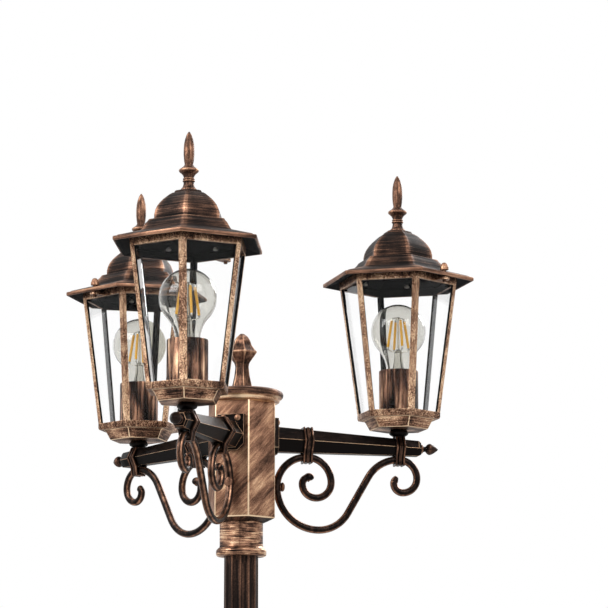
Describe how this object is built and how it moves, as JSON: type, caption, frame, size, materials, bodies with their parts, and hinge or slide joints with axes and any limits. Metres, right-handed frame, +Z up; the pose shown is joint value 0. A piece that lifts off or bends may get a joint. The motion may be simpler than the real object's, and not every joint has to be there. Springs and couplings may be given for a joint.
{
  "type": "lamp post",
  "caption": "Tall garden lamp post with a fluted base, turned pole and scrolled arms that carry six-sided glass lanterns.",
  "frame": {"origin": "on the ground, in the middle of the foot's underside and of its anchor holes", "axes": "+Z up along the pole; the front arm points to -Y, the other two to 30 degrees behind +X and -X"},
  "size_m": [0.4633, 0.4297, 2.3432],
  "materials": {
    "dark_casting": "cast, dark bronze paint brushed with copper",
    "copper_casting": "cast, antique copper paint brushed with dark brown",
    "roof_casting": "cast, dark brown paint with horizontal copper brushing",
    "arm_bronze": "cast, near-black bronze paint with copper edges",
    "scroll_steel": "round steel bar, near-black bronze paint",
    "steel": "plated steel fasteners",
    "pane_glass": "clear flat glass",
    "lamp_glass": "clear blown glass",
    "lamp_cap": "plated thread shell",
    "filament": "yellow coated filaments on a clear glass stem",
    "holder_plastic": "moulded, black",
    "block_plastic": "moulded, off-white"
  },
  "bodies": {
    "post": {"base": "dark_casting", "base_ring": "dark_casting", "pole_locknut": "steel", "pole_lower": "dark_casting", "coupling_lower": "dark_casting", "pole_middle": "dark_casting", "coupling_upper": "dark_casting", "pole_upper": "dark_casting", "head_collar": "copper_casting", "head_body": "copper_casting", "head_cap": "copper_casting", "head_finial": "dark_casting", "terminal_block": "block_plastic", "scroll_clips": "arm_bronze", "arm_screws": "steel", "scroll_bolts": "steel", "lantern_nipples": "steel", "beam_front": "arm_bronze", "scroll_front": "scroll_steel", "arm_tip_front": "arm_bronze", "beam_right": "arm_bronze", "scroll_right": "scroll_steel", "arm_tip_right": "arm_bronze", "beam_left": "arm_bronze", "scroll_left": "scroll_steel", "arm_tip_left": "arm_bronze"},
    "lantern_front": {"tray_front": "copper_casting", "cage_front": "copper_casting", "panes_front": "pane_glass", "lamp_holder_front": "holder_plastic", "holder_sleeve_front": "copper_casting"},
    "roof_front": {"roof_front": "roof_casting", "finial_front": "roof_casting", "roof_nut_front": "steel"},
    "lamp_front": {"bulb_glass_front": "lamp_glass", "bulb_cap_front": "lamp_cap", "bulb_filaments_front": "filament"},
    "lantern_right": {"tray_right": "copper_casting", "cage_right": "copper_casting", "panes_right": "pane_glass", "lamp_holder_right": "holder_plastic", "holder_sleeve_right": "copper_casting"},
    "roof_right": {"roof_right": "roof_casting", "finial_right": "roof_casting", "roof_nut_right": "steel"},
    "lamp_right": {"bulb_glass_right": "lamp_glass", "bulb_cap_right": "lamp_cap", "bulb_filaments_right": "filament"},
    "lantern_left": {"tray_left": "copper_casting", "cage_left": "copper_casting", "panes_left": "pane_glass", "lamp_holder_left": "holder_plastic", "holder_sleeve_left": "copper_casting"},
    "roof_left": {"roof_left": "roof_casting", "finial_left": "roof_casting", "roof_nut_left": "steel"},
    "lamp_left": {"bulb_glass_left": "lamp_glass", "bulb_cap_left": "lamp_cap", "bulb_filaments_left": "filament"}
  },
  "joints": [
    {"name": "lantern_swivel_front", "type": "hinge", "parent": "post", "child": "lantern_front", "pos_m": [0, -0.175, 2.05884], "axis": [0, 0, 1], "range_deg": [-180, 180]},
    {"name": "roof_lift_front", "type": "slide", "parent": "lantern_front", "child": "roof_front", "axis": [0, 0, 1], "range_m": [0, 0.15]},
    {"name": "lamp_screw_front", "type": "hinge", "parent": "lantern_front", "child": "lamp_front", "pos_m": [0, -0.175, 2.05884], "axis": [0, 0, 1], "range_deg": [0, 1260]},
    {"name": "lantern_swivel_right", "type": "hinge", "parent": "post", "child": "lantern_right", "pos_m": [0.15155, 0.0875, 2.05884], "axis": [0, 0, 1], "range_deg": [-180, 180]},
    {"name": "roof_lift_right", "type": "slide", "parent": "lantern_right", "child": "roof_right", "axis": [0, 0, 1], "range_m": [0, 0.15]},
    {"name": "lamp_screw_right", "type": "hinge", "parent": "lantern_right", "child": "lamp_right", "pos_m": [0.15155, 0.0875, 2.05884], "axis": [0, 0, 1], "range_deg": [0, 1260]},
    {"name": "lantern_swivel_left", "type": "hinge", "parent": "post", "child": "lantern_left", "pos_m": [-0.15155, 0.0875, 2.05884], "axis": [0, 0, 1], "range_deg": [-180, 180]},
    {"name": "roof_lift_left", "type": "slide", "parent": "lantern_left", "child": "roof_left", "axis": [0, 0, 1], "range_m": [0, 0.15]},
    {"name": "lamp_screw_left", "type": "hinge", "parent": "lantern_left", "child": "lamp_left", "pos_m": [-0.15155, 0.0875, 2.05884], "axis": [0, 0, 1], "range_deg": [0, 1260]}
  ]
}
